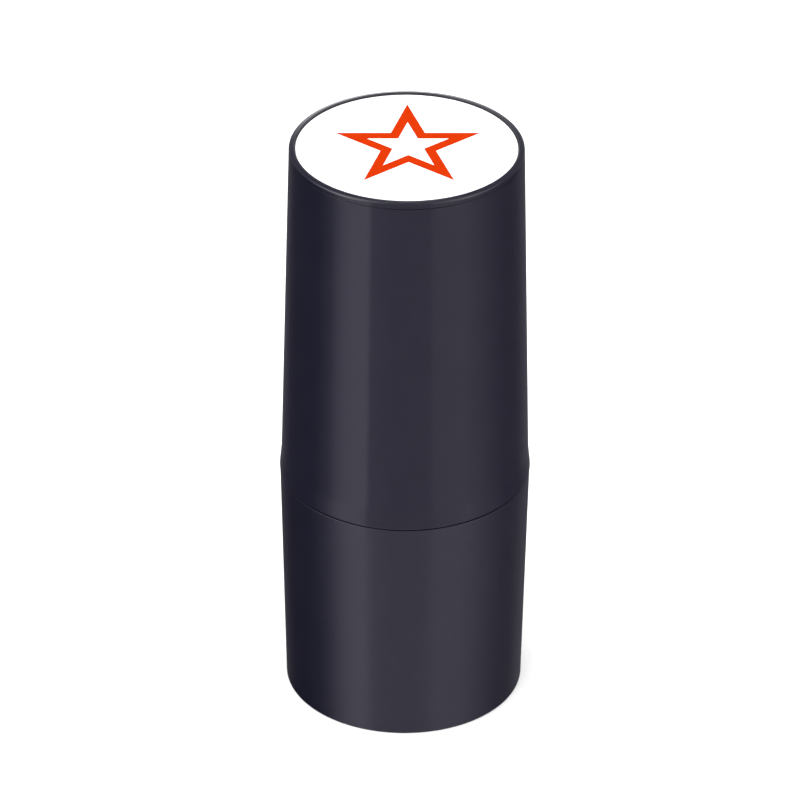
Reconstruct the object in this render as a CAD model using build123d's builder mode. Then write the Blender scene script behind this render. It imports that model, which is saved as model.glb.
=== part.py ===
"""A capped, pre-inked pocket stamp: a handle with a spring-loaded guide skirt, standing on its push-on cap.

Millimetres, +Z up. The origin is the centre of the cap's underside, on which the closed stamp stands.
Most pieces are turned profiles: a section is drawn in (radius, height) on the XZ plane and revolved about Z.
"""

import os
from math import cos, radians, sin

from build123d import *

# Outer shape of the closed stamp
TOTAL_HEIGHT = 46.0
SEAM_HEIGHT = 18.5  # top edge of the cap
SEAM_GAP = 0.04  # hairline between the cap's mouth and the handle
BASE_RADIUS = 9.04  # cap at the bottom
MOUTH_RADIUS = 9.44  # cap at its mouth
SHOULDER_RADIUS = 9.37  # handle just above its lip
TOP_RADIUS = 8.67  # handle at its top
RIM_OUTER_ROUND = 0.22
RIM_INNER_ROUND = 0.05
LIP_OVERHANG = 0.03  # the handle's flared lip stands this far out over the cap's mouth
LIP_HEIGHT = 1.6
LIP_STRAIGHT = 0.22  # the lip's lowest part, which doesn't flare
LIP_ROUND = 0.12  # rounding of the lip at the seam
MOUTH_ROUND = 0.06  # rounding of the cap's outer edge at the seam

# Fits between pieces, on the radius
RUNNING_GAP = 0.08
PRESS_GAP = 0.02
REST_GAP = 0.02  # between faces that rest on each other

# Working parts, from the axis outwards
BORE_RADIUS = 5.35  # ink barrel's bore
BARREL_RADIUS = 6.47
SKIRT_INNER = BARREL_RADIUS + RUNNING_GAP
SKIRT_RADIUS = 7.27
COLLAR_INNER = SKIRT_RADIUS + RUNNING_GAP
COLLAR_RADIUS = 8.34
CAP_BORE = COLLAR_RADIUS + RUNNING_GAP

# Heights of the working parts
CAP_FLOOR = 1.6
LINER_THICKNESS = 0.7
SKIRT_FOOT = 2.45  # lower edge of the guide skirt
DIE_FACE = 4.6  # printing face of the star
RELIEF = 0.6  # height of the star above the die's ground
COLLAR_FOOT = 12.5
COLLAR_TOP = 21.8
SNAP_HEIGHT = 20.3  # bead that locks the collar in the handle
FLANGE_HEIGHT = 0.9  # skirt's flange, which rests on the collar
PRESS_STROKE = 2.5  # how far the skirt slides up into the handle
WASHER_TOP = 38.4
ROOF_UNDERSIDE = 44.2

# Label
LABEL_RECESS_RADIUS = 8.2
LABEL_THICKNESS = 0.35
LABEL_BELOW_RIM = 0.16
PRINT_THICKNESS = 0.05
STAR_RADIUS = 5.6
STAR_HOLLOW = 0.57  # inner star over outer star
STAR_STRETCH = 1.145  # the printed star is taller than it is wide
STAR_SHIFT = (0.1, 0.24)  # the print sits a little off the label's centre
STAR_TURN = 0.7  # and is turned a little, in degrees
DIE_STAR_RADIUS = 5.0

os.makedirs("parts", exist_ok=True)


def corner(section, radius, height):
    """The vertex of a section nearest to a point given as radius and height."""
    return section.vertices().sort_by_distance((radius, height, 0))[0]


def star_points(radius, stretch=1.0):
    """The ten corners of a five-pointed star with straight-through arms, pointing to +Y."""
    waist = radius * cos(radians(72)) / cos(radians(36))
    corners = []
    for step in range(10):
        reach = radius if step % 2 == 0 else waist
        angle = radians(90 + 36 * step)
        corners.append((reach * cos(angle), reach * stretch * sin(angle)))
    return corners


def star_outline(radius, stretch=1.0):
    """Draws a star-shaped frame in the sketch that is open: a star with a smaller star left out."""
    Polygon(*star_points(radius, stretch), align=None)
    Polygon(*star_points(radius * STAR_HOLLOW, stretch), align=None, mode=Mode.SUBTRACT)


def finish(builder, name):
    """Labels a finished piece and writes it as one STEP file."""
    builder.part.label = name
    export_step(builder.part, f"parts/{name}.step")


# ---------------------------------------------------------------- cap

FOOT_RING_INNER = 7.75
FOOT_RECESS = 0.35
CAP_BORE_FOOT = 12.2  # the mouth's wide bore ends here
CAP_WELL_TOP = 7.85
CAP_WELL_FLOOR = 7.75
GATE_RADIUS = 0.8
GATE_HEIGHT = 0.15

with BuildPart() as cap_shell:
    with BuildSketch(Plane.XZ) as section:
        with BuildLine():
            Polyline(
                (0, FOOT_RECESS),
                (FOOT_RING_INNER - FOOT_RECESS, FOOT_RECESS),
                (FOOT_RING_INNER, 0),
                (BASE_RADIUS, 0),
                (MOUTH_RADIUS, SEAM_HEIGHT),
                (CAP_BORE, SEAM_HEIGHT),
                (CAP_BORE, CAP_BORE_FOOT),
                (CAP_WELL_TOP, CAP_BORE_FOOT - 0.5),
                (CAP_WELL_FLOOR, CAP_FLOOR),
                (0, CAP_FLOOR),
                close=True,
            )
        make_face()
        fillet(corner(section, BASE_RADIUS, 0), 0.1)
        fillet(corner(section, MOUTH_RADIUS, SEAM_HEIGHT), MOUTH_ROUND)
        fillet(corner(section, CAP_WELL_FLOOR, CAP_FLOOR), 0.3)
        chamfer(corner(section, CAP_BORE, SEAM_HEIGHT), 0.25)
    revolve(axis=Axis.Z)
    # Moulding gate mark, inside the foot recess
    with BuildSketch(Plane.XY.offset(FOOT_RECESS)):
        Circle(GATE_RADIUS)
    extrude(amount=-GATE_HEIGHT)

finish(cap_shell, "cap_shell")

LINER_RADIUS = CAP_WELL_FLOOR - 0.35

with BuildPart() as cap_seal_liner:
    with BuildSketch(Plane.XY.offset(CAP_FLOOR)):
        Circle(LINER_RADIUS)
    extrude(amount=LINER_THICKNESS)
    fillet(cap_seal_liner.edges().group_by(Axis.Z)[-1], 0.2)

finish(cap_seal_liner, "cap_seal_liner")

# ---------------------------------------------------------------- handle shell

HANDLE_FOOT = SEAM_HEIGHT + SEAM_GAP
LIP_RADIUS = MOUTH_RADIUS + LIP_OVERHANG
COLLAR_SEAT = COLLAR_RADIUS + PRESS_GAP
COLLAR_STOP = COLLAR_TOP + 0.1
SNAP_BEAD_RADIUS = COLLAR_RADIUS + 0.12
SNAP_HALF_WIDTH = 0.3
FLANGE_ROOM_RADIUS = 8.24
FLANGE_ROOM_TOP = COLLAR_TOP + REST_GAP + FLANGE_HEIGHT + PRESS_STROKE + 1.0
CAVITY_FOOT_RADIUS = 7.95
CAVITY_TOP_RADIUS = 7.45
RECESS_FLOOR = TOTAL_HEIGHT - LABEL_BELOW_RIM - LABEL_THICKNESS
PARTING_HEIGHT = 45.48  # fine line round the handle, just below its rim
PARTING_WIDTH = 0.05
PARTING_DEPTH = 0.06
RIB_COUNT = 8
RIB_WIDTH = 0.8
RIB_INNER = BARREL_RADIUS + PRESS_GAP
RIB_OUTER = 8.0  # ends inside the shell's wall


def handle_outer_radius(height):
    """Outer radius of the tapered handle at a height, without its lip."""
    share = (height - HANDLE_FOOT) / (TOTAL_HEIGHT - HANDLE_FOOT)
    return SHOULDER_RADIUS + (TOP_RADIUS - SHOULDER_RADIUS) * share


LIP_TOP = HANDLE_FOOT + LIP_HEIGHT
PARTING_FOOT = PARTING_HEIGHT - PARTING_WIDTH / 2
PARTING_TOP = PARTING_HEIGHT + PARTING_WIDTH / 2
PARTING_RADIUS = handle_outer_radius(PARTING_HEIGHT) - PARTING_DEPTH

with BuildPart() as handle_shell:
    with BuildSketch(Plane.XZ) as section:
        with BuildLine():
            Polyline(
                (COLLAR_SEAT, HANDLE_FOOT),
                (LIP_RADIUS, HANDLE_FOOT),
                (LIP_RADIUS, HANDLE_FOOT + LIP_STRAIGHT),
                (handle_outer_radius(LIP_TOP), LIP_TOP),
                (handle_outer_radius(PARTING_FOOT), PARTING_FOOT),
                (PARTING_RADIUS, PARTING_FOOT),
                (PARTING_RADIUS, PARTING_TOP),
                (handle_outer_radius(PARTING_TOP), PARTING_TOP),
                (TOP_RADIUS, TOTAL_HEIGHT),
                (LABEL_RECESS_RADIUS, TOTAL_HEIGHT),
                (LABEL_RECESS_RADIUS, RECESS_FLOOR),
                (0, RECESS_FLOOR),
                (0, ROOF_UNDERSIDE),
                (CAVITY_TOP_RADIUS, ROOF_UNDERSIDE),
                (CAVITY_FOOT_RADIUS, FLANGE_ROOM_TOP + 0.3),
                (FLANGE_ROOM_RADIUS, FLANGE_ROOM_TOP),
                (FLANGE_ROOM_RADIUS, COLLAR_STOP),
                (COLLAR_SEAT, COLLAR_STOP),
                (COLLAR_SEAT, SNAP_HEIGHT + SNAP_HALF_WIDTH),
                (SNAP_BEAD_RADIUS + PRESS_GAP, SNAP_HEIGHT),
                (COLLAR_SEAT, SNAP_HEIGHT - SNAP_HALF_WIDTH),
                close=True,
            )
        make_face()
        fillet(corner(section, LIP_RADIUS, HANDLE_FOOT), LIP_ROUND)
        fillet(corner(section, LIP_RADIUS, HANDLE_FOOT + LIP_STRAIGHT), 1.5)
        fillet(corner(section, handle_outer_radius(LIP_TOP), LIP_TOP), 6.0)
        fillet(corner(section, TOP_RADIUS, TOTAL_HEIGHT), RIM_OUTER_ROUND)
        fillet(corner(section, LABEL_RECESS_RADIUS, TOTAL_HEIGHT), RIM_INNER_ROUND)
        fillet(corner(section, CAVITY_TOP_RADIUS, ROOF_UNDERSIDE), 0.5)
    revolve(axis=Axis.Z)
    # Ribs that grip the ink barrel and carry the spring washer
    with BuildSketch(Plane.XY.offset(WASHER_TOP)):
        with PolarLocations((RIB_INNER + RIB_OUTER) / 2, RIB_COUNT):
            Rectangle(RIB_OUTER - RIB_INNER, RIB_WIDTH)
    extrude(amount=ROOF_UNDERSIDE - WASHER_TOP)

finish(handle_shell, "handle_shell")

# ---------------------------------------------------------------- label

LABEL_TOP = RECESS_FLOOR + LABEL_THICKNESS
LABEL_RADIUS = LABEL_RECESS_RADIUS - 0.05

with BuildPart() as index_label:
    with BuildSketch(Plane.XY.offset(RECESS_FLOOR)):
        Circle(LABEL_RADIUS)
    extrude(amount=LABEL_THICKNESS)
    fillet(index_label.edges().group_by(Axis.Z)[-1], 0.05)
    # Pocket that the print fills
    with BuildSketch(Plane.XY.offset(LABEL_TOP)):
        with Locations(Location((*STAR_SHIFT, 0), (0, 0, STAR_TURN))):
            star_outline(STAR_RADIUS, STAR_STRETCH)
    extrude(amount=-PRINT_THICKNESS, mode=Mode.SUBTRACT)

finish(index_label, "index_label")

with BuildPart() as index_star:
    with BuildSketch(Plane.XY.offset(LABEL_TOP - PRINT_THICKNESS)):
        with Locations(Location((*STAR_SHIFT, 0), (0, 0, STAR_TURN))):
            star_outline(STAR_RADIUS, STAR_STRETCH)
    extrude(amount=PRINT_THICKNESS)

finish(index_star, "index_star")

# ---------------------------------------------------------------- neck: collar and seal ring

GUIDE_COUNT = 3
GUIDE_GROOVE_RADIUS = 7.6
GUIDE_GROOVE_WIDTH = 1.6
SEAL_HEIGHT = 16.2
SEAL_GROOVE_RADIUS = 7.9
SEAL_GROOVE_WIDTH = 0.62
SEAL_WIRE = 0.46

with BuildPart() as retaining_collar:
    with BuildSketch(Plane.XZ) as section:
        with BuildLine():
            Polyline(
                (COLLAR_INNER, COLLAR_FOOT),
                (COLLAR_RADIUS, COLLAR_FOOT),
                (COLLAR_RADIUS, SEAL_HEIGHT - SEAL_GROOVE_WIDTH / 2),
                (SEAL_GROOVE_RADIUS, SEAL_HEIGHT - SEAL_GROOVE_WIDTH / 2),
                (SEAL_GROOVE_RADIUS, SEAL_HEIGHT + SEAL_GROOVE_WIDTH / 2),
                (COLLAR_RADIUS, SEAL_HEIGHT + SEAL_GROOVE_WIDTH / 2),
                (COLLAR_RADIUS, SNAP_HEIGHT - SNAP_HALF_WIDTH),
                (SNAP_BEAD_RADIUS, SNAP_HEIGHT),
                (COLLAR_RADIUS, SNAP_HEIGHT + SNAP_HALF_WIDTH),
                (COLLAR_RADIUS, COLLAR_TOP),
                (COLLAR_INNER, COLLAR_TOP),
                close=True,
            )
        make_face()
        chamfer(corner(section, COLLAR_RADIUS, COLLAR_FOOT), 0.3)
        chamfer(corner(section, COLLAR_RADIUS, COLLAR_TOP), 0.2)
        fillet(corner(section, COLLAR_INNER, COLLAR_FOOT), 0.15)
    revolve(axis=Axis.Z)
    # Grooves that keep the skirt from turning
    with BuildSketch(Plane.XY.offset(COLLAR_FOOT)):
        with PolarLocations(COLLAR_INNER, GUIDE_COUNT):
            Rectangle(2 * (GUIDE_GROOVE_RADIUS - COLLAR_INNER), GUIDE_GROOVE_WIDTH)
    extrude(amount=COLLAR_TOP - COLLAR_FOOT, mode=Mode.SUBTRACT)

finish(retaining_collar, "retaining_collar")

with BuildPart() as neck_seal_ring:
    with BuildSketch(Plane.XZ):
        with Locations((SEAL_GROOVE_RADIUS + PRESS_GAP + SEAL_WIRE / 2, SEAL_HEIGHT)):
            Circle(SEAL_WIRE / 2)
    revolve(axis=Axis.Z)

finish(neck_seal_ring, "neck_seal_ring")

# ---------------------------------------------------------------- guide skirt

FLANGE_RADIUS = 8.1
FLANGE_FOOT = COLLAR_TOP + REST_GAP
FLANGE_TOP = FLANGE_FOOT + FLANGE_HEIGHT
SPLINE_RADIUS = 7.5
SPLINE_WIDTH = 1.4
SPLINE_FOOT = 11.0
NOTCH_RADIUS = 0.6

with BuildPart() as guide_skirt:
    with BuildSketch(Plane.XZ) as section:
        with BuildLine():
            Polyline(
                (SKIRT_INNER, SKIRT_FOOT),
                (SKIRT_RADIUS, SKIRT_FOOT),
                (SKIRT_RADIUS, FLANGE_FOOT),
                (FLANGE_RADIUS, FLANGE_FOOT),
                (FLANGE_RADIUS, FLANGE_TOP),
                (SKIRT_INNER, FLANGE_TOP),
                close=True,
            )
        make_face()
        fillet(corner(section, SKIRT_RADIUS, SKIRT_FOOT), 0.3)
        fillet(corner(section, SKIRT_INNER, SKIRT_FOOT), 0.15)
        chamfer(corner(section, FLANGE_RADIUS, FLANGE_TOP), 0.2)
    revolve(axis=Axis.Z)
    # Splines that run in the collar's grooves
    with BuildSketch(Plane.XY.offset(SPLINE_FOOT)):
        with PolarLocations(SKIRT_RADIUS, GUIDE_COUNT):
            Rectangle(2 * (SPLINE_RADIUS - SKIRT_RADIUS), SPLINE_WIDTH)
    extrude(amount=FLANGE_FOOT - SPLINE_FOOT)
    # Sighting notches at the four quarters of the foot
    for across in (Plane.XZ, Plane.YZ):
        with BuildSketch(across):
            with Locations((0, SKIRT_FOOT)):
                Circle(NOTCH_RADIUS)
        extrude(amount=SKIRT_RADIUS + 1, both=True, mode=Mode.SUBTRACT)

finish(guide_skirt, "guide_skirt")

# ---------------------------------------------------------------- return spring and its washer

WASHER_THICKNESS = 0.3
WASHER_FOOT = WASHER_TOP - REST_GAP - WASHER_THICKNESS
SPRING_WIRE = 0.8
SPRING_RADIUS = 7.05  # of the wire's centreline
SPRING_TURNS = 6
SPRING_FOOT = FLANGE_TOP + REST_GAP + SPRING_WIRE / 2
SPRING_HEIGHT = WASHER_FOOT - REST_GAP - SPRING_WIRE / 2 - SPRING_FOOT

with BuildPart() as spring_washer:
    with BuildSketch(Plane.XY.offset(WASHER_FOOT)):
        Circle(7.4)
        Circle(BARREL_RADIUS + 0.1, mode=Mode.SUBTRACT)
    extrude(amount=WASHER_THICKNESS)

finish(spring_washer, "spring_washer")

with BuildPart() as return_spring:
    with BuildLine() as coil:
        Helix(SPRING_HEIGHT / SPRING_TURNS, SPRING_HEIGHT, SPRING_RADIUS, center=(0, 0, SPRING_FOOT))
    with BuildSketch(Plane(origin=coil.line @ 0, z_dir=coil.line % 0)):
        Circle(SPRING_WIRE / 2)
    sweep()

finish(return_spring, "return_spring")

# ---------------------------------------------------------------- die, its clamp ring and the grid behind it

DIE_GROUND = DIE_FACE + RELIEF
CLAMP_FOOT = 5.0
CLAMP_LIP_TOP = 5.53
CLAMP_TOP = 8.9
CLAMP_LIP_INNER = 5.73
SPIGOT_RADIUS = 6.12  # barrel's reduced end, inside the clamp ring
DIE_FLANGE_FOOT = CLAMP_LIP_TOP + REST_GAP
DIE_BACK = 6.1
GRID_RADIUS = 5.72
GRID_TOP = 6.9
GRID_HOLE_RADIUS = 0.38
GRID_RINGS = ((1.6, 6), (3.2, 12), (4.75, 18))  # radius and number of holes of each ring

with BuildPart() as stamp_die:
    with BuildSketch(Plane.XZ):
        with BuildLine():
            Polyline(
                (0, DIE_GROUND),
                (CLAMP_LIP_INNER - PRESS_GAP, DIE_GROUND),
                (CLAMP_LIP_INNER - PRESS_GAP, DIE_FLANGE_FOOT),
                (SPIGOT_RADIUS - PRESS_GAP, DIE_FLANGE_FOOT),
                (SPIGOT_RADIUS - PRESS_GAP, DIE_BACK - REST_GAP),
                (0, DIE_BACK - REST_GAP),
                close=True,
            )
        make_face()
    revolve(axis=Axis.Z)
    with BuildSketch(Plane.XY.offset(DIE_FACE)):
        star_outline(DIE_STAR_RADIUS)
    extrude(amount=RELIEF)

finish(stamp_die, "stamp_die")

with BuildPart() as die_clamp_ring:
    with BuildSketch(Plane.XZ) as section:
        with BuildLine():
            Polyline(
                (CLAMP_LIP_INNER, CLAMP_FOOT),
                (BARREL_RADIUS, CLAMP_FOOT),
                (BARREL_RADIUS, CLAMP_TOP),
                (SPIGOT_RADIUS + PRESS_GAP, CLAMP_TOP),
                (SPIGOT_RADIUS + PRESS_GAP, CLAMP_LIP_TOP),
                (CLAMP_LIP_INNER, CLAMP_LIP_TOP),
                close=True,
            )
        make_face()
        fillet(corner(section, BARREL_RADIUS, CLAMP_FOOT), 0.25)
        fillet(corner(section, CLAMP_LIP_INNER, CLAMP_FOOT), 0.15)
    revolve(axis=Axis.Z)

finish(die_clamp_ring, "die_clamp_ring")

with BuildPart() as diffuser_grid:
    with BuildSketch(Plane.XY.offset(DIE_BACK + REST_GAP)):
        Circle(GRID_RADIUS)
        Circle(GRID_HOLE_RADIUS, mode=Mode.SUBTRACT)
        for ring_radius, holes in GRID_RINGS:
            with PolarLocations(ring_radius, holes):
                Circle(GRID_HOLE_RADIUS, mode=Mode.SUBTRACT)
    extrude(amount=GRID_TOP - DIE_BACK - REST_GAP)

finish(diffuser_grid, "diffuser_grid")

# ---------------------------------------------------------------- ink barrel, reservoir and plug

BARREL_TOP = ROOF_UNDERSIDE - REST_GAP
GRID_SEAT_RADIUS = GRID_RADIUS + PRESS_GAP
GRID_SEAT_TOP = GRID_TOP + REST_GAP
RESERVOIR_TOP = 30.0
PLUG_HEIGHT = 3.6
PLUG_WALL = 0.9
PLUG_RIDGE = 0.14  # height of the plug's two sealing ridges
VENT_RADIUS = 0.35

with BuildPart() as ink_barrel:
    with BuildSketch(Plane.XZ) as section:
        with BuildLine():
            Polyline(
                (GRID_SEAT_RADIUS, DIE_BACK),
                (SPIGOT_RADIUS, DIE_BACK),
                (SPIGOT_RADIUS, CLAMP_TOP + REST_GAP),
                (BARREL_RADIUS, CLAMP_TOP + REST_GAP),
                (BARREL_RADIUS, BARREL_TOP),
                (BORE_RADIUS, BARREL_TOP),
                (BORE_RADIUS, GRID_SEAT_TOP),
                (GRID_SEAT_RADIUS, GRID_SEAT_TOP),
                close=True,
            )
        make_face()
        chamfer(corner(section, BARREL_RADIUS, BARREL_TOP), 0.4)
    revolve(axis=Axis.Z)

finish(ink_barrel, "ink_barrel")

with BuildPart() as ink_reservoir:
    with BuildSketch(Plane.XY.offset(GRID_SEAT_TOP)):
        Circle(BORE_RADIUS - PRESS_GAP)
    extrude(amount=RESERVOIR_TOP - GRID_SEAT_TOP)
    chamfer(ink_reservoir.edges().filter_by(GeomType.CIRCLE), 0.3)

finish(ink_reservoir, "ink_reservoir")

PLUG_FOOT = RESERVOIR_TOP + REST_GAP
PLUG_RADIUS = BORE_RADIUS - PRESS_GAP - PLUG_RIDGE

with BuildPart() as reservoir_plug:
    with BuildSketch(Plane.XY.offset(PLUG_FOOT)):
        Circle(PLUG_RADIUS)
    extrude(amount=PLUG_HEIGHT)
    for ridge_height in (0.3, 0.7):
        with BuildSketch(Plane.XZ):
            with Locations((PLUG_RADIUS, PLUG_FOOT + PLUG_HEIGHT * ridge_height)):
                Circle(PLUG_RIDGE)
        revolve(axis=Axis.Z)
    # Hollowed from above, with a vent through the floor
    with BuildSketch(Plane.XY.offset(PLUG_FOOT + PLUG_WALL)):
        Circle(PLUG_RADIUS - PLUG_WALL)
    extrude(amount=PLUG_HEIGHT, mode=Mode.SUBTRACT)
    with BuildSketch(Plane.XY.offset(PLUG_FOOT)):
        Circle(VENT_RADIUS)
    extrude(amount=PLUG_WALL, mode=Mode.SUBTRACT)

finish(reservoir_plug, "reservoir_plug")
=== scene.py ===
"""The looks of a capped, pre-inked pocket stamp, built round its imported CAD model.

Sizes are millimetres until a mesh is made. The stamp's axis is Z, and the camera looks along +Y.
Most pieces are turned: an outline of (radius, height, rounding) corners, drawn counter-clockwise,
goes round Z.
"""

import math

import bpy
from mathutils import Matrix, Vector, noise


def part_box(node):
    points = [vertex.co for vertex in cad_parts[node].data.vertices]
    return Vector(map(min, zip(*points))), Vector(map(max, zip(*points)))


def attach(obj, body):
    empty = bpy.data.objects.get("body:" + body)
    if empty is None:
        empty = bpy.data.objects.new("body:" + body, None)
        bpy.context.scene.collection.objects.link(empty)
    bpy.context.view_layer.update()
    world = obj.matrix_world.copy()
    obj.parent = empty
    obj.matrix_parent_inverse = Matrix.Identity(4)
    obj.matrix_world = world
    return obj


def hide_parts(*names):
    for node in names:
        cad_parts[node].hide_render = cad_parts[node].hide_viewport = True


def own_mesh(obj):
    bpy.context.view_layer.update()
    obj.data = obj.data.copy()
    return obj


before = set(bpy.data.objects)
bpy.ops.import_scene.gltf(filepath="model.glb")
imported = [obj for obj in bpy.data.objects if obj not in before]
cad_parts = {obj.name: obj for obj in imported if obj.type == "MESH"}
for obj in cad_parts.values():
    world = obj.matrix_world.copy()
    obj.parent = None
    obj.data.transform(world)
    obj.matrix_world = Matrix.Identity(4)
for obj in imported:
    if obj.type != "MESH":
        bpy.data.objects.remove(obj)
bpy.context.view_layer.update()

MM = 0.001
SEGMENTS = 360  # one degree each
EDGE = 0.05  # rounding of an ordinary moulded edge
PRESS_GAP = 0.02  # between pieces that are pressed or snapped together


def span(node):
    """Outer radius, foot and top of a round CAD node."""
    low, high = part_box(node)
    return high.x / MM, low.z / MM, high.z / MM


# ---------------------------------------------------------------- meshes


def outline_points(corners, closed, step):
    """Follows an outline of (radius, height, rounding) corners and returns [(point, outward normal), ...]."""
    count = len(corners)
    places = [Vector(c[:2]) for c in corners]
    found = []
    for i, (place, corner) in enumerate(zip(places, corners)):
        if not closed and i in (0, count - 1):
            beside = places[1] if i == 0 else places[-2]
            along = (beside - place) if i == 0 else (place - beside)
            along.normalize()
            found.append((place, Vector((along.y, -along.x))))
            continue
        back = (place - places[i - 1]).normalized()
        ahead = (places[(i + 1) % count] - place).normalized()
        turn = math.atan2(back.cross(ahead), back.dot(ahead))
        rounding = corner[2] if len(corner) > 2 else EDGE
        reach = rounding * abs(math.tan(turn / 2))
        side = 1 if turn > 0 else -1
        first = Vector((back.y, -back.x))
        centre = place - back * reach - first * rounding * side
        steps = max(2, math.ceil(abs(math.degrees(turn)) / 12))
        for k in range(steps + 1):
            normal = Matrix.Rotation(turn * k / steps, 2) @ first
            found.append((centre + normal * rounding * side, normal))
    ring = []
    pairs = zip(found, found[1:] + found[:1]) if closed else zip(found, found[1:])
    for (a, normal_a), (b, normal_b) in pairs:
        parts = max(1, math.ceil((b - a).length / step))
        ring += [(a.lerp(b, k / parts), normal_a.lerp(normal_b, k / parts)) for k in range(parts)]
    return ring if closed else ring + [found[-1]]


def new_object(name, verts, faces):
    """A smooth-shaded mesh object from points in millimetres."""
    mesh = bpy.data.meshes.new(name)
    mesh.from_pydata([Vector(v) * MM for v in verts], [], faces)
    mesh.polygons.foreach_set("use_smooth", [True] * len(mesh.polygons))
    mesh.update()
    piece = bpy.data.objects.new(name, mesh)
    bpy.context.scene.collection.objects.link(piece)
    return piece


def turned(name, corners, reshape=None, step=2.0, segments=SEGMENTS):
    """Turns an outline round Z. It is closed unless it starts and ends on the axis.
    reshape(radius, height, angle) may move a point to another radius and height."""
    closed = corners[0][0] > 0
    points = outline_points(corners, closed, step)
    verts, normals, rings = [], [], []
    for place, normal in points:
        ring = []
        for j in range(segments if place.x > 1e-6 else 1):
            angle = math.tau * j / segments
            radius, height = reshape(place.x, place.y, angle) if reshape else place
            ring.append(len(verts))
            verts.append((radius * math.cos(angle), radius * math.sin(angle), height))
            normals.append((normal.x * math.cos(angle), normal.x * math.sin(angle), normal.y))
        rings.append(ring)
    faces = []
    for lower, upper in zip(rings, rings[1:] + (rings[:1] if closed else [])):
        for j in range(segments):
            quad = [lower[j % len(lower)], lower[(j + 1) % len(lower)]]
            quad += [upper[(j + 1) % len(upper)], upper[j % len(upper)]]
            faces.append(tuple(dict.fromkeys(quad)))
    piece = new_object(name, verts, faces)
    if reshape:
        piece.data.set_sharp_from_angle(angle=math.radians(40))
    else:
        piece.data.normals_split_custom_set_from_vertices([Vector(n).normalized() for n in normals])
    return piece


def flat_piece(name, outlines, foot, top, bevel):
    """A plate between two heights. Of its closed outlines the first is its edge, the others are holes."""
    curve = bpy.data.curves.new(name, "CURVE")
    curve.dimensions = "2D"
    curve.fill_mode = "BOTH"
    curve.extrude = ((top - foot) / 2 - bevel) * MM
    curve.bevel_depth = bevel * MM
    curve.bevel_resolution = 2
    curve.offset = -bevel * MM
    for outline in outlines:
        spline = curve.splines.new("POLY")
        spline.points.add(len(outline) - 1)
        for point, (x, y) in zip(spline.points, outline):
            point.co = (x * MM, y * MM, 0, 1)
        spline.use_cyclic_u = True
    source = bpy.data.objects.new(name + ".curve", curve)
    bpy.context.scene.collection.objects.link(source)
    bpy.context.view_layer.update()
    mesh = bpy.data.meshes.new_from_object(source.evaluated_get(bpy.context.evaluated_depsgraph_get()))
    bpy.data.objects.remove(source)
    mesh.transform(Matrix.Translation((0, 0, (foot + top) / 2 * MM)))
    mesh.name = name
    piece = bpy.data.objects.new(name, mesh)
    bpy.context.scene.collection.objects.link(piece)
    return piece


def circle(radius, x=0.0, y=0.0, points=48):
    """Points of a circle round (x, y)."""
    angles = [math.tau * k / points for k in range(points)]
    return [(x + radius * math.cos(a), y + radius * math.sin(a)) for a in angles]


def star(radius, stretch=1.0):
    """Corners of a five-pointed star with straight-through arms, one point towards +Y."""
    waist = radius * math.cos(math.radians(72)) / math.cos(math.radians(36))
    corners = []
    for k in range(10):
        reach = radius if k % 2 == 0 else waist
        angle = math.radians(90 + 36 * k)
        corners.append((reach * math.cos(angle), reach * stretch * math.sin(angle)))
    return corners


def boolean(piece, other, operation):
    """Applies a boolean of piece with other, and removes other."""
    modifier = piece.modifiers.new("join", "BOOLEAN")
    modifier.operation = operation
    modifier.object = other
    modifier.solver = "EXACT"
    bpy.context.view_layer.update()
    piece.data = bpy.data.meshes.new_from_object(piece.evaluated_get(bpy.context.evaluated_depsgraph_get()))
    piece.modifiers.clear()
    bpy.data.objects.remove(other)


def near_multiple(angle, count, offset=0.0):
    """Angle from the nearest of count evenly spaced directions, in radians."""
    pitch = math.tau / count
    return abs((angle - offset + pitch / 2) % pitch - pitch / 2)


# ---------------------------------------------------------------- materials


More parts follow.
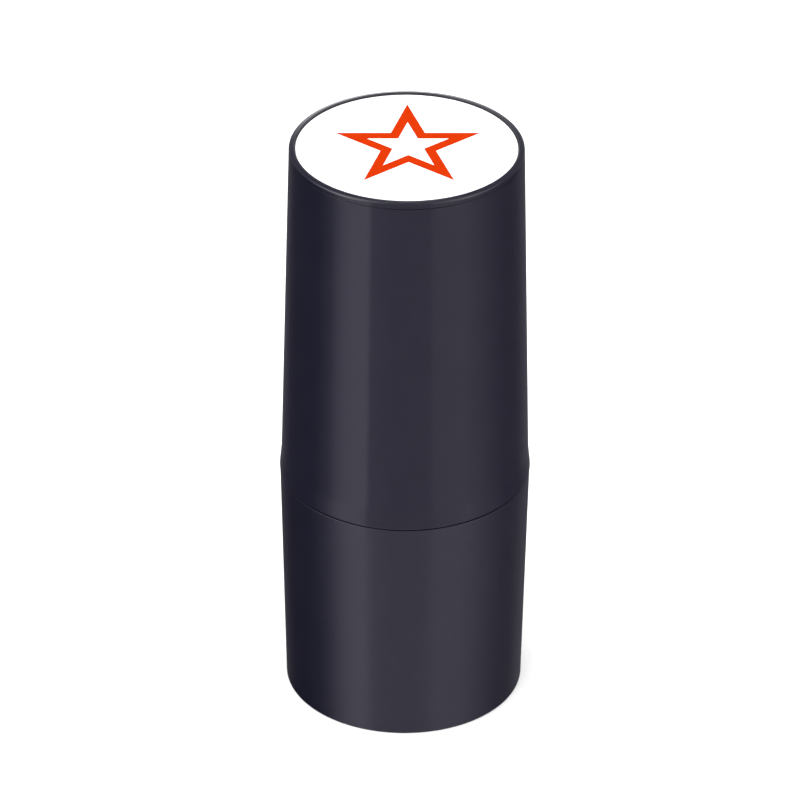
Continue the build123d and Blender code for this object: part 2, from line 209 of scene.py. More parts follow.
class Surface:
    """A Principled material whose textures are laid in real size, in object coordinates."""

    def __init__(self, name, **sockets):
        self.material = bpy.data.materials.new(name)
        self.material.use_nodes = True
        self.nodes = self.material.node_tree.nodes
        self.link = self.material.node_tree.links.new
        self.shader = self.nodes["Principled BSDF"]
        self.place = self.nodes.new("ShaderNodeTexCoord").outputs["Object"]
        self.height = None
        for socket, value in sockets.items():
            self.shader.inputs[socket.replace("_", " ")].default_value = value

    def squeezed(self, x, y, z):
        """The place with its axes scaled, for textures that are longer one way."""
        mapping = self.nodes.new("ShaderNodeMapping")
        mapping.inputs["Scale"].default_value = (x, y, z)
        self.link(self.place, mapping.inputs["Vector"])
        return mapping.outputs["Vector"]

    def noise(self, size, detail=3.0, place=None):
        """Noise with blotches of about a size in millimetres."""
        texture = self.nodes.new("ShaderNodeTexNoise")
        texture.inputs["Scale"].default_value = 1 / (size * MM)
        texture.inputs["Detail"].default_value = detail
        self.link(place or self.place, texture.inputs["Vector"])
        return texture.outputs["Fac"]

    def cells(self, size, feature="F1"):
        """Distance to the nearest cell centre, for cells of about a size in millimetres."""
        texture = self.nodes.new("ShaderNodeTexVoronoi")
        texture.feature = feature
        texture.inputs["Scale"].default_value = 1 / (size * MM)
        self.link(self.place, texture.inputs["Vector"])
        return texture.outputs["Distance"]

    def spread(self, value, low, high, span_low=0.3, span_high=0.7):
        """Maps a texture's usual range to low..high."""
        mapped = self.nodes.new("ShaderNodeMapRange")
        for socket, number in (
            ("From Min", span_low),
            ("From Max", span_high),
            ("To Min", low),
            ("To Max", high),
        ):
            mapped.inputs[socket].default_value = number
        self.link(value, mapped.inputs["Value"])
        return mapped.outputs["Result"]

    def colour(self, value, first, second, span_low=0.3, span_high=0.7):
        """Base colour from first to second as a texture goes through its usual range."""
        ramp = self.nodes.new("ShaderNodeValToRGB")
        ramp.color_ramp.elements[0].position = span_low
        ramp.color_ramp.elements[0].color = (*first, 1)
        ramp.color_ramp.elements[1].position = span_high
        ramp.color_ramp.elements[1].color = (*second, 1)
        self.link(value, ramp.inputs["Fac"])
        self.link(ramp.outputs["Color"], self.shader.inputs["Base Color"])

    def roughness(self, value, low, high):
        """Roughness from low to high."""
        self.link(self.spread(value, low, high), self.shader.inputs["Roughness"])

    def bump(self, value, depth):
        """Adds relief, with a depth in millimetres between the texture's 0 and 1."""
        bump = self.nodes.new("ShaderNodeBump")
        bump.inputs["Strength"].default_value = 1.0
        bump.inputs["Distance"].default_value = depth * MM
        self.link(value, bump.inputs["Height"])
        if self.height:
            self.link(self.height, bump.inputs["Normal"])
        self.height = bump.outputs["Normal"]
        self.link(self.height, self.shader.inputs["Normal"])


def moulded_plastic(name, first, second, roughness, grain, **sockets):
    """Moulded plastic with faint flow clouds, a fine spark-eroded grain and uneven satin."""
    surface = Surface(name, **sockets)
    surface.colour(surface.noise(3.0), first, second)
    surface.roughness(surface.noise(1.2, 4), *roughness)
    surface.bump(surface.noise(0.12, 2), grain)
    return surface.material


def label_sheet():
    """White laminated label sheet."""
    surface = Surface("label_sheet", IOR=1.5, Coat_Weight=0.5, Coat_Roughness=0.12)
    surface.colour(surface.noise(2.0), (0.87, 0.87, 0.87), (0.9, 0.9, 0.895))
    surface.roughness(surface.noise(0.6), 0.32, 0.42)
    surface.bump(surface.noise(0.8, 2), 0.002)
    return surface.material


def print_ink():
    """Orange-red printing ink, a little uneven."""
    surface = Surface("print_ink", Specular_IOR_Level=0.0)
    surface.colour(surface.noise(0.5, 4), (0.42, 0.0245, 0.0018), (0.46, 0.028, 0.0024))
    surface.roughness(surface.noise(0.3), 0.5, 0.6)
    surface.bump(surface.noise(0.1, 2), 0.001)
    return surface.material


def soaked_rubber():
    """Micro-porous rubber, wet with red ink."""
    surface = Surface("soaked_rubber", Coat_Weight=0.35, Coat_Roughness=0.2)
    surface.colour(surface.noise(0.6, 5), (0.30, 0.008, 0.006), (0.5, 0.02, 0.012))
    surface.roughness(surface.noise(0.4), 0.32, 0.55)
    surface.bump(surface.cells(0.06), 0.006)
    return surface.material


def soaked_felt():
    """Felt full of ink: short matted fibres."""
    surface = Surface("soaked_felt", Sheen_Weight=0.3, Sheen_Roughness=0.5)
    fibres = surface.noise(0.5, 6, surface.squeezed(1, 1, 4))
    surface.colour(fibres, (0.22, 0.006, 0.005), (0.5, 0.03, 0.015))
    surface.roughness(fibres, 0.7, 0.9)
    surface.bump(fibres, 0.12)
    surface.bump(surface.noise(0.12, 3), 0.03)
    return surface.material


def foam():
    """Grey closed-cell foam sheet."""
    surface = Surface("foam_sheet", Sheen_Weight=0.1)
    cells = surface.cells(0.22)
    surface.colour(cells, (0.2, 0.2, 0.21), (0.3, 0.3, 0.31), 0.1, 0.6)
    surface.roughness(surface.noise(0.5), 0.75, 0.9)
    surface.bump(cells, 0.03)
    return surface.material


def rubber():
    """Black moulded rubber with a dusty bloom."""
    surface = Surface("seal_rubber")
    surface.colour(surface.noise(0.8, 4), (0.012, 0.012, 0.012), (0.03, 0.03, 0.031))
    surface.roughness(surface.noise(0.5), 0.42, 0.6)
    surface.bump(surface.noise(0.08, 3), 0.004)
    return surface.material


def steel():
    """Drawn and rolled spring steel, with faint lines from the die."""
    surface = Surface("spring_steel", Metallic=1.0)
    lines = surface.noise(0.25, 4, surface.squeezed(1, 1, 6))
    surface.colour(lines, (0.46, 0.46, 0.47), (0.62, 0.62, 0.63))
    surface.roughness(lines, 0.2, 0.34)
    surface.bump(lines, 0.002)
    return surface.material


MATERIALS = {
    "handle": moulded_plastic(
        "handle_plastic", (0.0062, 0.0058, 0.015), (0.0078, 0.0073, 0.0168), (0.1, 0.14), 0.0012, IOR=1.5
    ),
    "cap": moulded_plastic(
        "cap_plastic", (0.005, 0.0047, 0.015), (0.006, 0.0057, 0.0165), (0.22, 0.27), 0.002, IOR=1.6
    ),
    "inner": moulded_plastic(
        "inner_plastic", (0.012, 0.012, 0.014), (0.018, 0.018, 0.02), (0.38, 0.5), 0.004
    ),
    "barrel": moulded_plastic(
        "barrel_plastic", (0.66, 0.65, 0.61), (0.74, 0.73, 0.69), (0.3, 0.4), 0.003
    ),
    "label": label_sheet(),
    "print": print_ink(),
    "die": soaked_rubber(),
    "felt": soaked_felt(),
    "foam": foam(),
    "rubber": rubber(),
    "steel": steel(),
}


def put(piece, node, body, surface):
    """Gives a piece its material and its body, and hides the CAD node that it stands for."""
    piece.data.materials.clear()
    piece.data.materials.append(MATERIALS[surface])
    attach(piece, body)
    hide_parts(node)
    return piece


# ---------------------------------------------------------------- cap

CAP_LIP_ROUND = 0.03
CAP_BASE = 9.04
CAP_MOUTH = 9.44
CAP_BORE = 8.42
CAP_BORE_FOOT = 12.2
CAP_WELL_TOP = 7.85
CAP_WELL = 7.75
CAP_FLOOR = 1.6
FOOT_RING_INNER = 7.75
FOOT_RECESS = 0.35
GATE_RADIUS = 0.8
GATE_FOOT = 0.2
LINER_PRESSED = 0.07  # depth of the ring that the skirt has left in the foam


def make_cap():
    """Cap with a foot ring and a gate mark below, and a lead-in at its mouth."""
    _, foot, top = span("cap_shell")
    piece = turned(
        "cap",
        [
            (0, foot + GATE_FOOT),
            (GATE_RADIUS, foot + GATE_FOOT, 0.08),
            (GATE_RADIUS, foot + FOOT_RECESS, 0.04),
            (FOOT_RING_INNER - FOOT_RECESS, foot + FOOT_RECESS, 0.15),
            (FOOT_RING_INNER, foot, 0.12),
            (CAP_BASE, foot, 0.1),
            (CAP_MOUTH, top, CAP_LIP_ROUND),
            (CAP_BORE + 0.25, top, 0.05),
            (CAP_BORE, top - 0.25, 0.1),
            (CAP_BORE, CAP_BORE_FOOT, 0.15),
            (CAP_WELL_TOP, CAP_BORE_FOOT - 0.5, 0.2),
            (CAP_WELL, CAP_FLOOR, 0.3),
            (0, CAP_FLOOR),
        ],
    )
    return put(piece, "cap_shell", "cap", "cap")


def make_liner():
    """Foam disc with the ring that the skirt's foot has pressed into it."""
    radius, foot, top = span("cap_seal_liner")

    def uneven(r, z, angle):
        if z < foot + 0.2 or r < 1e-6:
            return r, z
        spot = Vector((r * math.cos(angle), r * math.sin(angle), 0))
        return r, z - 0.02 - 0.02 * noise.noise(spot * 0.9) - 0.01 * noise.noise(spot * 2.7)

    piece = turned(
        "foam_liner",
        [
            (0, foot),
            (radius, foot, 0.05),
            (radius, top, 0.2),
            (SKIRT_RADIUS, top - 0.02, 0.05),
            (SKIRT_RADIUS - 0.1, top - LINER_PRESSED, 0.1),
            (SKIRT_INNER + 0.1, top - LINER_PRESSED, 0.1),
            (SKIRT_INNER - 0.05, top, 0.1),
            (0, top),
        ],
        uneven,
        step=0.25,
    )
    return put(piece, "cap_seal_liner", "cap", "foam")


# ---------------------------------------------------------------- handle

HANDLE_SHOULDER = 9.37
HANDLE_TOP = 8.67
HANDLE_LIP = 9.47
LIP_ROUND = 0.16
LIP_STRAIGHT = 0.22
LIP_SAG = 0.015  # the seam is a little closer than in the CAD model
LIP_HEIGHT = 1.6
RIM_OUTER_ROUND = 0.22
RIM_INNER_ROUND = 0.05
RIM_FALL = 0.04  # the rim falls off a little to its outer edge
PARTING_HEIGHT = 45.48
PARTING_WIDTH = 0.05
PARTING_DEPTH = 0.06
RECESS_RADIUS = 8.24
LABEL_GAP = 0.05  # round the label in its recess
COLLAR_SEAT = 8.36
FLANGE_ROOM = 8.24
FLANGE_TRAVEL = 3.5  # free height over the skirt's flange
CAVITY_FOOT = 7.95
CAVITY_TOP = 7.45
RIB_COUNT = 8
RIB_HALF_ANGLE = math.radians(3.2)
SNAP_DEPTH = 0.12
SNAP_HEIGHT = 20.3
SNAP_HALF_WIDTH = 0.3


def make_handle():
    """Handle shell: a taper with a flared lip, a thin rim round the label, and ribs that grip the barrel."""
    _, foot, top = span("handle_shell")
    _, recess_floor, _ = span("index_label")
    barrel, _, barrel_top = span("ink_barrel")
    _, _, washer_top = span("spring_washer")
    _, _, collar_top = span("retaining_collar")
    _, _, flange_top = span("guide_skirt")
    roof = barrel_top + PRESS_GAP
    rib_foot = washer_top + PRESS_GAP
    room_top = flange_top + FLANGE_TRAVEL
    lip_top = foot + LIP_HEIGHT
    taper = (HANDLE_TOP - HANDLE_SHOULDER) / (top - foot)
    at_parting = HANDLE_SHOULDER + taper * (PARTING_HEIGHT - foot)
    parting_foot = PARTING_HEIGHT - PARTING_WIDTH / 2
    parting_top = PARTING_HEIGHT + PARTING_WIDTH / 2

    def ribs(r, z, angle):
        inside = CAVITY_TOP - 0.6 < r < CAVITY_FOOT and rib_foot < z < roof + 0.01
        if inside and near_multiple(angle, RIB_COUNT) < RIB_HALF_ANGLE:
            return barrel + PRESS_GAP, z
        return r, z

    piece = turned(
        "handle",
        [
            (COLLAR_SEAT, foot - LIP_SAG, 0.08),
            (HANDLE_LIP, foot - LIP_SAG, LIP_ROUND),
            (HANDLE_LIP, foot + LIP_STRAIGHT, 1.5),
            (HANDLE_SHOULDER + taper * LIP_HEIGHT, lip_top, 6.0),
            (at_parting, parting_foot, 0.02),
            (at_parting - PARTING_DEPTH, parting_foot, 0.01),
            (at_parting - PARTING_DEPTH, parting_top, 0.01),
            (at_parting, parting_top, 0.02),
            (HANDLE_TOP, top - RIM_FALL, RIM_OUTER_ROUND),
            (RECESS_RADIUS, top, RIM_INNER_ROUND),
            (RECESS_RADIUS, recess_floor, 0.03),
            (0.001, recess_floor, 0.0),
            (0.001, roof, 0.0),
            (CAVITY_TOP, roof, 0.3),
            (CAVITY_TOP + 0.02, roof - 0.4, 0.1),
            (CAVITY_TOP + 0.16, rib_foot + 0.04, 0.02),
            (CAVITY_TOP + 0.165, rib_foot - 0.04, 0.02),
            (CAVITY_FOOT, room_top + 0.3, 0.1),
            (FLANGE_ROOM, room_top, 0.1),
            (FLANGE_ROOM, collar_top + 0.1, 0.03),
            (COLLAR_SEAT, collar_top + 0.1, 0.03),
            (COLLAR_SEAT, SNAP_HEIGHT + SNAP_HALF_WIDTH, 0.05),
            (COLLAR_SEAT + SNAP_DEPTH, SNAP_HEIGHT, 0.05),
            (COLLAR_SEAT, SNAP_HEIGHT - SNAP_HALF_WIDTH, 0.05),
        ],
    )
    return put(piece, "handle_shell", "handle", "handle")


def make_label():
    """Round label sheet, slightly rolled over at its cut edge."""
    _, foot, top = span("index_label")
    radius = RECESS_RADIUS - LABEL_GAP
    piece = turned(
        "label",
        [(0, foot), (radius, foot, 0.03), (radius, top, 0.06), (0, top)],
    )
    return put(piece, "index_label", "handle", "label")


STAR_RADIUS = 5.6
STAR_STRETCH = 1.145
STAR_SHIFT = (0.1, 0.24)  # the print sits a little off the label's centre
STAR_TURN = 0.7  # and is turned a little, in degrees
STAR_HOLLOW = 0.57
PRINT_RELIEF = 0.012


def make_print():
    """The outlined star, a film of ink that stands just proud of the label."""
    _, _, top = span("index_label")
    outlines = [star(STAR_RADIUS, STAR_STRETCH), star(STAR_RADIUS * STAR_HOLLOW, STAR_STRETCH)]
    piece = flat_piece("label_star", outlines, top - 0.03, top + PRINT_RELIEF, 0.004)
    place = Matrix.Translation((STAR_SHIFT[0] * MM, STAR_SHIFT[1] * MM, 0))
    piece.data.transform(place @ Matrix.Rotation(math.radians(STAR_TURN), 4, "Z"))
    return put(piece, "index_star", "handle", "print")


# ---------------------------------------------------------------- neck

COLLAR_INNER = 7.35
COLLAR_RADIUS = 8.34
SEAL_HEIGHT = 16.2
SEAL_GROOVE = 7.9
SEAL_GROOVE_HALF = 0.31
SEAL_SIDES = 24
SEAL_FLASH = 0.012  # how far the mould's flash line stands proud
SEAL_FLASH_HALF = math.radians(6)
GUIDE_COUNT = 3
GUIDE_GROOVE = 7.6
GUIDE_GROOVE_HALF = 0.8


def make_collar():
    """Neck and retaining collar, with a groove for the seal ring outside and guide grooves inside."""
    _, foot, top = span("retaining_collar")

    def grooves(r, z, angle):
        if r < COLLAR_INNER + 0.02 and near_multiple(angle, GUIDE_COUNT) * r < GUIDE_GROOVE_HALF:
            return GUIDE_GROOVE, z
        return r, z

    piece = turned(
        "neck_collar",
        [
            (COLLAR_INNER, foot, 0.01),
            (GUIDE_GROOVE + 0.05, foot, 0.04),
            (COLLAR_RADIUS - 0.3, foot, 0.06),
            (COLLAR_RADIUS, foot + 0.3, 0.06),
            (COLLAR_RADIUS, SEAL_HEIGHT - SEAL_GROOVE_HALF, 0.04),
            (SEAL_GROOVE, SEAL_HEIGHT - SEAL_GROOVE_HALF, 0.05),
            (SEAL_GROOVE, SEAL_HEIGHT + SEAL_GROOVE_HALF, 0.05),
            (COLLAR_RADIUS, SEAL_HEIGHT + SEAL_GROOVE_HALF, 0.04),
            (COLLAR_RADIUS, SNAP_HEIGHT - SNAP_HALF_WIDTH, 0.05),
            (COLLAR_RADIUS + SNAP_DEPTH, SNAP_HEIGHT, 0.05),
            (COLLAR_RADIUS, SNAP_HEIGHT + SNAP_HALF_WIDTH, 0.05),
            (COLLAR_RADIUS, top - 0.2, 0.06),
            (COLLAR_RADIUS - 0.2, top, 0.05),
            (GUIDE_GROOVE + 0.05, top, 0.04),
            (COLLAR_INNER, top, 0.01),
        ],
        grooves,
    )
    return put(piece, "retaining_collar", "handle", "inner")


def make_seal():
    """Rubber ring on the neck, with the fine flash line of its mould."""
    outer, foot, top = span("neck_seal_ring")
    wire = (top - foot) / 2
    centre = outer - wire

    def bead(k):
        angle = math.tau * k / SEAL_SIDES
        from_flash = min(abs(angle), abs(angle - math.pi), abs(angle - math.tau))
        proud = SEAL_FLASH if from_flash < SEAL_FLASH_HALF else 0
        across = wire - SEAL_FLASH + proud
        return centre + across * math.cos(angle), SEAL_HEIGHT + wire * math.sin(angle), 0.02

    piece = turned("seal_ring", [bead(k) for k in range(SEAL_SIDES)])
    return put(piece, "neck_seal_ring", "neck_seal", "rubber")


# ---------------------------------------------------------------- guide skirt and its spring

SKIRT_INNER = 6.55
SKIRT_RADIUS = 7.27
SPLINE_RADIUS = 7.5
SPLINE_HALF = 0.7
SPLINE_FOOT = 11.0
FLANGE_HEIGHT = 0.9
NOTCH_RADIUS = 0.6
NOTCH_BLEND = 3.0
NOTCH_COUNT = 4


def make_skirt():
    """Sliding guide skirt: splines outside, a flange above and four sighting notches in its foot."""
    flange, foot, top = span("guide_skirt")
    flange_foot = top - FLANGE_HEIGHT

    def features(r, z, angle):
        if r > SKIRT_RADIUS - 0.02 and SPLINE_FOOT < z < flange_foot + 0.01:
            if near_multiple(angle, GUIDE_COUNT) * r < SPLINE_HALF:
                r = max(r, SPLINE_RADIUS)
        across = near_multiple(angle, NOTCH_COUNT) * (SKIRT_INNER + SKIRT_RADIUS) / 2
        if across < NOTCH_RADIUS and z < foot + NOTCH_BLEND:
            rise = math.sqrt(NOTCH_RADIUS**2 - across**2)
            z = z + rise * (1 - (z - foot) / NOTCH_BLEND)
        return r, z

    piece = turned(
        "guide_skirt_sleeve",
        [
            (SKIRT_INNER, foot, 0.12),
            (SKIRT_RADIUS, foot, 0.28),
            (SKIRT_RADIUS, SPLINE_FOOT - 0.03, 0.01),
            (SKIRT_RADIUS + 0.001, SPLINE_FOOT + 0.03, 0.01),
            (SKIRT_RADIUS + 0.001, flange_foot, 0.005),
            (SPLINE_RADIUS + 0.05, flange_foot, 0.02),
            (flange, flange_foot, 0.06),
            (flange, top - 0.2, 0.05),
            (flange - 0.2, top, 0.05),
            (SKIRT_INNER, top, 0.08),
        ],
        features,
        step=1.0,
    )
    return put(piece, "guide_skirt", "skirt", "inner")


SPRING_TURNS = 8.0
SPRING_WIRE = 0.4  # radius of the wire
SPRING_END_RISE = 0.75  # of a wire's radius, over the closed turn at each end
RINGS_PER_TURN = 96
WIRE_SIDES = 20


def make_spring():
    """Compression spring with closed ends that are ground flat. It shortens towards its upper end."""
    outer, foot, top = span("return_spring")
    wire = SPRING_WIRE
    radius = outer - wire
    low, high = foot + wire, top - wire
    rings = int(SPRING_TURNS * RINGS_PER_TURN)
    verts, faces = [], []
    for i in range(rings + 1):
        turns = SPRING_TURNS * i / rings
        share = min(max((turns - 1) / (SPRING_TURNS - 2), 0), 1)
        height = low + (high - low) * share * share * (3 - 2 * share)
        height += SPRING_END_RISE * wire * (max(turns - (SPRING_TURNS - 1), 0) - max(1 - turns, 0))
        angle = math.tau * turns
        for k in range(WIRE_SIDES):
            around = math.tau * k / WIRE_SIDES
            r = radius + wire * math.cos(around)
            z = min(max(height + wire * math.sin(around), foot), top)
            verts.append((r * math.cos(angle), r * math.sin(angle), z))
    for i in range(rings):
        for k in range(WIRE_SIDES):
            a, b = i * WIRE_SIDES + k, i * WIRE_SIDES + (k + 1) % WIRE_SIDES
            faces.append((a, a + WIRE_SIDES, b + WIRE_SIDES, b))
    last = rings * WIRE_SIDES
    faces.append(tuple(range(WIRE_SIDES)))
    faces.append(tuple(last + k for k in reversed(range(WIRE_SIDES))))
    piece = new_object("coil_spring", verts, faces)
    piece.data.set_sharp_from_angle(angle=math.radians(50))
    piece = put(piece, "return_spring", "handle", "steel")
    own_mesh(piece)
    return piece


def make_washer():
    """Stamped washer above the spring, with a rolled upper edge."""
    radius, foot, top = span("spring_washer")
    inner = span("ink_barrel")[0] + 0.1
    corners = [(inner, foot, 0.03), (radius, foot, 0.03), (radius, top, 0.12), (inner, top, 0.12)]
    return put(turned("steel_washer", corners), "spring_washer", "handle", "steel")


# ---------------------------------------------------------------- ink barrel and what it holds

BORE = 5.35
GRID_SEAT = 5.74
GRID_SEAT_TOP = 6.92
SPIGOT = 6.12
CLAMP_SEAT = 8.92
CLAMP_LIP_INNER = 5.73
CLAMP_LIP_TOP = 5.53
DIE_GROUND = 5.2
DIE_STAR = 5.0
RELIEF_ROOT = 0.2  # depth to which the relief goes into the die before they are joined
GRID_HOLE = 0.38
GRID_RINGS = ((0, 1), (1.6, 6), (3.2, 12), (4.75, 18))  # radius of each ring of holes, and how many
PLUG_WALL = 0.9
PLUG_RIDGE = 0.14
VENT = 0.35


def make_barrel():
    """Ink barrel: a tube with a spigot for the clamp ring and a seat for the grid."""
    radius, foot, top = span("ink_barrel")
    piece = turned(
        "barrel",
        [
            (GRID_SEAT, foot, 0.04),
            (SPIGOT, foot, 0.08),
            (SPIGOT, CLAMP_SEAT, 0.04),
            (radius, CLAMP_SEAT, 0.05),
            (radius, top - 0.4, 0.1),
            (radius - 0.4, top, 0.06),
            (BORE, top, 0.08),
            (BORE, GRID_SEAT_TOP, 0.04),
            (GRID_SEAT, GRID_SEAT_TOP, 0.04),
        ],
    )
    return put(piece, "ink_barrel", "handle", "barrel")


def make_clamp():
    """Ring that holds the die's flange on the barrel."""
    radius, foot, top = span("die_clamp_ring")
    piece = turned(
        "clamp_ring",
        [
            (CLAMP_LIP_INNER, foot, 0.14),
            (radius, foot, 0.24),
            (radius, top, 0.06),
            (SPIGOT + PRESS_GAP, top, 0.05),
            (SPIGOT + PRESS_GAP, CLAMP_LIP_TOP, 0.02),
            (CLAMP_LIP_INNER, CLAMP_LIP_TOP, 0.04),
        ],
    )
    return put(piece, "die_clamp_ring", "handle", "barrel")


def make_die():
    """Die: a flanged rubber disc with the outlined star in relief."""
    radius, face, back = span("stamp_die")
    piece = turned(
        "star_die",
        [
            (0, DIE_GROUND),
            (CLAMP_LIP_INNER - PRESS_GAP, DIE_GROUND, 0.06),
            (CLAMP_LIP_INNER - PRESS_GAP, CLAMP_LIP_TOP + PRESS_GAP, 0.03),
            (radius, CLAMP_LIP_TOP + PRESS_GAP, 0.05),
            (radius, back, 0.05),
            (0, back),
        ],
    )
    outlines = [star(DIE_STAR), star(DIE_STAR * STAR_HOLLOW)]
    relief = flat_piece("relief", outlines, face, DIE_GROUND + RELIEF_ROOT, 0.05)
    boolean(piece, relief, "UNION")
    piece.data.set_sharp_from_angle(angle=math.radians(30))
    return put(piece, "stamp_die", "handle", "die")


def make_grid():
    """Perforated disc that spreads the ink."""
    radius, foot, top = span("diffuser_grid")
    outlines = [circle(radius, points=180)]
    for ring, count in GRID_RINGS:
        for k in range(count):
            angle = math.tau * k / count
            outlines.append(circle(GRID_HOLE, ring * math.cos(angle), ring * math.sin(angle)))
    piece = flat_piece("grid", outlines, foot, top, 0.05)
    piece.data.set_sharp_from_angle(angle=math.radians(30))
    return put(piece, "diffuser_grid", "handle", "barrel")


def make_felt():
    """Felt reservoir: a soaked plug of matted fibres with a lumpy skin."""
    radius, foot, top = span("ink_reservoir")

    def lumpy(r, z, angle):
        if r < 1e-6:
            return r, z
        spot = Vector((r * math.cos(angle), r * math.sin(angle), z * 0.5))
        return r - 0.03 - 0.03 * noise.noise(spot * 1.3) - 0.02 * noise.noise(spot * 4.1), z

    corners = [(0, foot), (radius, foot, 0.5), (radius, top, 0.5), (0, top)]
    piece = turned("felt_reservoir", corners, lumpy, step=0.3, segments=180)
    return put(piece, "ink_reservoir", "handle", "felt")


def make_plug():
    """Rubber plug over the felt: a cup with sealing ridges outside and a vent in its floor."""
    radius, foot, top = span("reservoir_plug")
    wall = radius - PLUG_RIDGE
    height = top - foot
    corners = [(VENT, foot, 0.04), (wall, foot, 0.15)]
    for share in (0.3, 0.7):
        middle = foot + height * share
        corners += [(wall, middle - 0.2, 0.05), (radius, middle, 0.1), (wall, middle + 0.2, 0.05)]
    corners += [
        (wall, top, 0.12),
        (wall - PLUG_WALL, top, 0.12),
        (wall - PLUG_WALL, foot + PLUG_WALL, 0.2),
        (VENT, foot + PLUG_WALL, 0.08),
    ]
    return put(turned("vented_plug", corners), "reservoir_plug", "handle", "rubber")


make_cap()
make_liner()
make_handle()
make_label()
make_print()
make_collar()
make_seal()
make_skirt()
make_spring()
make_washer()
make_barrel()
make_clamp()
make_die()
make_grid()
make_felt()
make_plug()


# ---------------------------------------------------------------- stage, light and camera

FLOOR_SIZE = 6.0
FLOOR_WHITE = (0.93, 0.93, 0.93, 1)

# What the stamp mirrors: rings of brightness at each direction round it, in degrees, with 0 towards
# the camera. UNDER is what is mirrored from furthest below, and SURROUNDINGS lists the rings over it.
# The stamp's sides mirror the table, on which a bright card lies to the left, and its edges the room.
FAR_TABLE = (
    (-180, 0.11),
    (-150, 0.1),
    (-137, 0.05),
    (-104, 0.06),
    (-90, 0.1),
    (-76, 0.3),
    (-66, 0.75),
    (-56, 1.05),
    (-36, 1.2),
    (-33.5, 0.62),
    (-10, 0.54),
    (23, 0.55),
    (27, 0.74),
    (56, 0.74),
    (74, 0.5),
    (90, 0.3),
    (104, 0.17),
    (125, 0.11),
    (145, 0.13),
    (180, 0.11),
)
NEAR_TABLE = (
    (-180, 0.11),
    (-150, 0.08),
    (-137, 0.03),
    (-104, 0.04),
    (-90, 0.06),
    (-76, 0.2),
    (-66, 0.52),
    (-56, 0.78),
    (-36, 1.05),
    (-33.5, 0.56),
    (-10, 0.52),
    (23, 0.54),
    (27, 0.79),
    (56, 0.74),
    (90, 0.3),
    (104, 0.17),
    (125, 0.13),
    (145, 0.17),
    (180, 0.11),
)
UNDER = (
    (-180, 0.02),
    (-95, 0.02),
    (-70, 0.25),
    (-50, 0.9),
    (50, 0.7),
    (70, 0.25),
    (95, 0.02),
    (180, 0.02),
)
ROOM = (
    (-180, 1.8),
    (-174, 1.4),
    (-167, 0.4),
    (-145, 0.2),
    (-90, 0.1),
    (-72, 1.0),
    (-60, 2.0),
    (-48, 1.2),
    (-30, 0.6),
    (20, 0.7),
    (45, 0.8),
    (60, 1.5),
    (72, 0.8),
    (100, 0.1),
    (150, 0.3),
    (170, 0.5),
    (176, 1.0),
    (180, 1.8),
)
WINDOW = (
    (-180, 3.8),
    (-176, 3.4),
    (-172, 1.2),
    (-165, 0.4),
    (-145, 0.3),
    (-105, 0.5),
    (-75, 3.0),
    (-62, 4.6),
    (-43, 2.6),
    (-28, 1.0),
    (-14, 0.6),
    (20, 0.6),
    (44, 1.7),
    (60, 3.0),
    (75, 1.8),
    (105, 0.4),
    (150, 0.3),
    (174, 0.5),
    (178, 2.6),
    (180, 3.8),
)
OVERHEAD = (
    (-180, 1.2),
    (-176, 0.35),
    (-165, 0.15),
    (-110, 0.4),
    (-90, 1.0),
    (-75, 2.4),
    (-55, 3.0),
    (-40, 1.5),
    (-20, 0.6),
    (20, 0.6),
    (45, 1.2),
    (60, 1.8),
    (75, 1.2),
    (95, 0.6),
    (165, 0.15),
    (176, 0.35),
    (180, 1.2),
)
TABLE_TINT = (0.98, 0.95, 1.12)
WHITE = (1.0, 1.0, 1.0)
# From the floor up: a ring, its tint, and the heights over which it takes over from the last one.
SURROUNDINGS = (
    (NEAR_TABLE, TABLE_TINT, -0.7, -0.62),
    (FAR_TABLE, TABLE_TINT, -0.56, -0.5),
    (ROOM, WHITE, -0.38, -0.3),
    (WINDOW, WHITE, -0.12, -0.04),
    (OVERHEAD, WHITE, 0.39, 0.44),
)
MIRRORED_MOST = 5.0  # brightest of the rings
WALLS = 0.4  # plain light from the side
CEILING = 2.7  # and from above
CEILING_EDGE = (0.62, 0.76)  # heights over which the ceiling takes over from the walls
SOFTBOX_PLACE = (-150, -150, 470)
SOFTBOX_SIZE = 300
SOFTBOX_POWER = 0.9


def make_floor():
    """Wide pale floor. Mirrored rays pass it and see the cards that stand round the table."""
    half = FLOOR_SIZE / 2
    mesh = bpy.data.meshes.new("floor")
    corners = [(-half, -half, 0), (half, -half, 0), (half, half, 0), (-half, half, 0)]
    mesh.from_pydata(corners, [], [(0, 1, 2, 3)])
    floor = bpy.data.objects.new("floor", mesh)
    bpy.context.scene.collection.objects.link(floor)
    surface = Surface("floor_paint", Base_Color=FLOOR_WHITE, Roughness=0.8, Specular_IOR_Level=0.2)
    floor.data.materials.append(surface.material)
    floor.visible_glossy = False


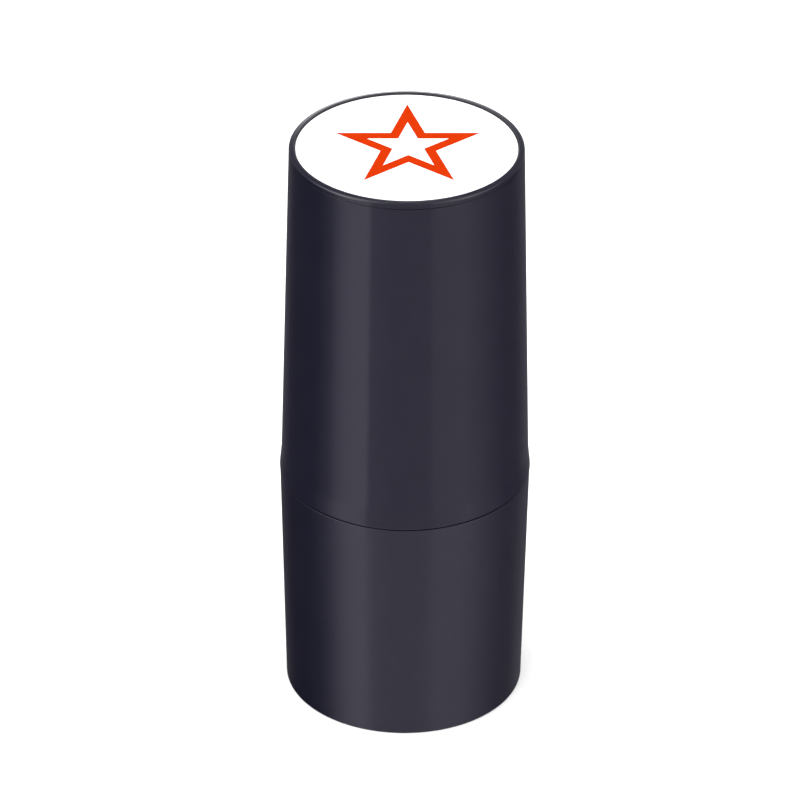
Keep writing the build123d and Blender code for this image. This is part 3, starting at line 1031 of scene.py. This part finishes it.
def make_world():
    """Plain soft light from above, and the surroundings that the stamp mirrors."""
    world = bpy.data.worlds.new("studio")
    bpy.context.scene.world = world
    world.use_nodes = True
    nodes, link = world.node_tree.nodes, world.node_tree.links.new

    def connect(value, socket):
        if isinstance(value, (float, tuple)):
            socket.default_value = value
        else:
            link(value, socket)

    def math_node(operation, a, b=0.0):
        node = nodes.new("ShaderNodeMath")
        node.operation = operation
        connect(a, node.inputs[0])
        connect(b, node.inputs[1])
        return node.outputs[0]

    def between(low, high):
        node = nodes.new("ShaderNodeMapRange")
        node.inputs["From Min"].default_value = low
        node.inputs["From Max"].default_value = high
        link(height, node.inputs["Value"])
        return node.outputs["Result"]

    def blend(share, first, second):
        node = nodes.new("ShaderNodeMix")
        node.data_type = "RGBA"
        connect(share, node.inputs["Factor"])
        connect(first, node.inputs["A"])
        connect(second, node.inputs["B"])
        return node.outputs["Result"]

    def ring(levels, tint):
        ramp = nodes.new("ShaderNodeValToRGB")
        stops = ramp.color_ramp.elements
        while len(stops) < len(levels):
            stops.new(0.5)
        for stop, (degrees, brightness) in zip(stops, levels):
            stop.position = degrees / 360 + 0.5
            stop.color = (*(brightness / MIRRORED_MOST * part for part in tint), 1)
        link(turn, ramp.inputs["Fac"])
        return ramp.outputs["Color"]

    split = nodes.new("ShaderNodeSeparateXYZ")
    link(nodes.new("ShaderNodeTexCoord").outputs["Generated"], split.inputs[0])
    height = split.outputs["Z"]
    azimuth = math_node("ARCTAN2", split.outputs["X"], math_node("MULTIPLY", split.outputs["Y"], -1.0))
    turn = math_node("ADD", math_node("DIVIDE", azimuth, math.tau), 0.5)
    mirrored = ring(UNDER, TABLE_TINT)
    for levels, tint, low, high in SURROUNDINGS:
        mirrored = blend(between(low, high), mirrored, ring(levels, tint))
    plain = blend(
        between(*CEILING_EDGE), (WALLS, WALLS, WALLS, 1.0), (CEILING, CEILING, CEILING, 1.0)
    )
    seen = nodes.new("ShaderNodeBackground")
    seen.inputs["Strength"].default_value = MIRRORED_MOST
    link(mirrored, seen.inputs["Color"])
    light = nodes["Background"]
    link(plain, light.inputs["Color"])
    choice = nodes.new("ShaderNodeMixShader")
    link(nodes.new("ShaderNodeLightPath").outputs["Is Glossy Ray"], choice.inputs["Fac"])
    link(light.outputs[0], choice.inputs[1])
    link(seen.outputs[0], choice.inputs[2])
    link(choice.outputs[0], nodes["World Output"].inputs["Surface"])


def make_light(name, place, size, power):
    """A square softbox, in millimetres, turned to the stamp's middle. It lights the stamp without a glint."""
    lamp = bpy.data.lights.new(name, "AREA")
    lamp.size = size * MM
    lamp.energy = power
    light = bpy.data.objects.new(name, lamp)
    bpy.context.scene.collection.objects.link(light)
    light.location = Vector(place) * MM
    light.visible_glossy = False
    aim = Vector((0, 0, span("handle_shell")[2] / 2)) * MM - light.location
    light.rotation_euler = aim.to_track_quat("-Z", "Y").to_euler()


CAMERA_DISTANCE = 439.4
CAMERA_ELEVATION = math.radians(31.23)
CAMERA_ROLL = math.radians(0.32)
CAMERA_LENS = 262.75
AIM = (-0.396, 0, 24.18)


def make_camera():
    """Camera above and in front, looking along +Y."""
    camera = bpy.data.objects.new("camera", bpy.data.cameras.new("camera"))
    bpy.context.scene.collection.objects.link(camera)
    camera.data.lens = CAMERA_LENS
    camera.data.sensor_width = 36
    camera.data.clip_start = 0.01
    back = Vector((0, -math.cos(CAMERA_ELEVATION), math.sin(CAMERA_ELEVATION)))
    camera.location = (Vector(AIM) + back * CAMERA_DISTANCE) * MM
    upright = back.to_track_quat("Z", "Y")
    camera.rotation_mode = "QUATERNION"
    camera.rotation_quaternion = upright @ Matrix.Rotation(CAMERA_ROLL, 3, "Z").to_quaternion()
    bpy.context.scene.camera = camera


make_floor()
make_world()
make_light("overhead_softbox", SOFTBOX_PLACE, SOFTBOX_SIZE, SOFTBOX_POWER)
make_camera()
bpy.context.scene.view_settings.view_transform = "Standard"
bpy.context.scene.view_settings.look = "None"
